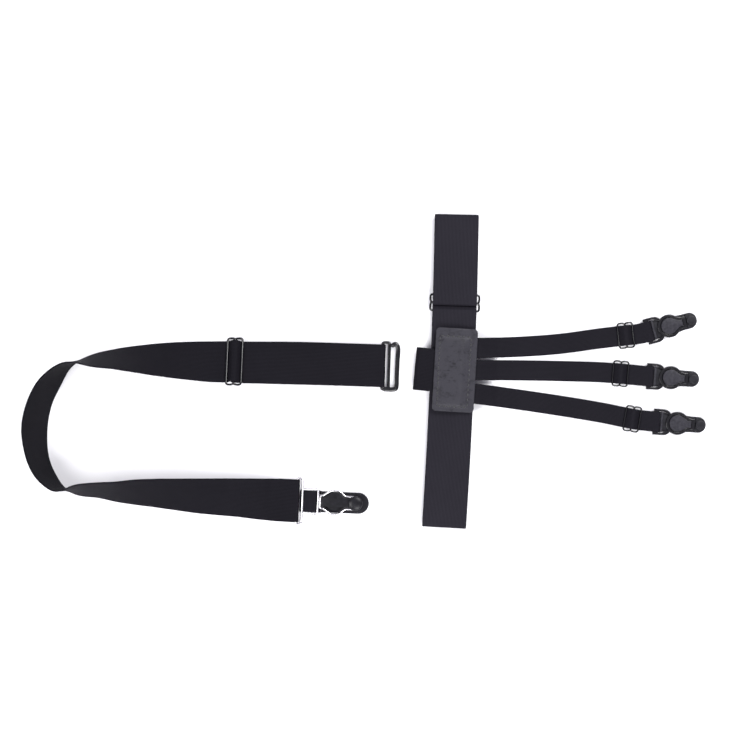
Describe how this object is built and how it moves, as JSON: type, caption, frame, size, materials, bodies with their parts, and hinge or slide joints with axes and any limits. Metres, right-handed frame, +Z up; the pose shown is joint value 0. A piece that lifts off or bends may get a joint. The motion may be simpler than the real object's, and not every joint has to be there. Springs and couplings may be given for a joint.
{
  "type": "shirt stay with sock strap",
  "caption": "Elastic thigh band with a leather patch, narrow straps with garter clips for a shirt's tail, and a wide sock strap with a swan hook and a sock clip, lying flat.",
  "frame": {"origin": "middle of the whole stay's footprint as it lies, on the floor", "axes": "+X from the sock strap's turn to the garter clips, +Y along the thigh band towards its slider, +Z up"},
  "size_m": [0.617, 0.2872, 0.039],
  "materials": {
    "webbing": "black knitted elastic with a fine twill and a satin sheen",
    "leather": "dark grey grained leather, stitched in black",
    "black_metal": "black enamelled steel wire and plate, glossy",
    "clip_plastic": "dark grey plastic pads with a soft gloss",
    "clip_rubber": "black rubber, slightly glossy",
    "silver_metal": "bright nickel-plated steel wire"
  },
  "bodies": {
    "root": {"thigh_band": "webbing", "hook_tab": "webbing", "shirt_strap_1": "webbing", "shirt_strap_2": "webbing", "shirt_strap_3": "webbing", "sock_strap": "webbing", "link_band": "webbing", "leather_patch": "leather", "thigh_slider": "black_metal", "shirt_slider_1": "black_metal", "shirt_slider_2": "black_metal", "shirt_slider_3": "black_metal", "clip_frame_1": "black_metal", "clip_frame_2": "black_metal", "clip_frame_3": "black_metal", "sock_slider": "black_metal", "swan_hook": "black_metal", "clip_pad_1": "clip_plastic", "clip_pad_2": "clip_plastic", "clip_pad_3": "clip_plastic", "sock_clip_pad": "clip_rubber", "reducer_ring": "silver_metal", "clip_wire": "silver_metal"}
  },
  "joints": []
}
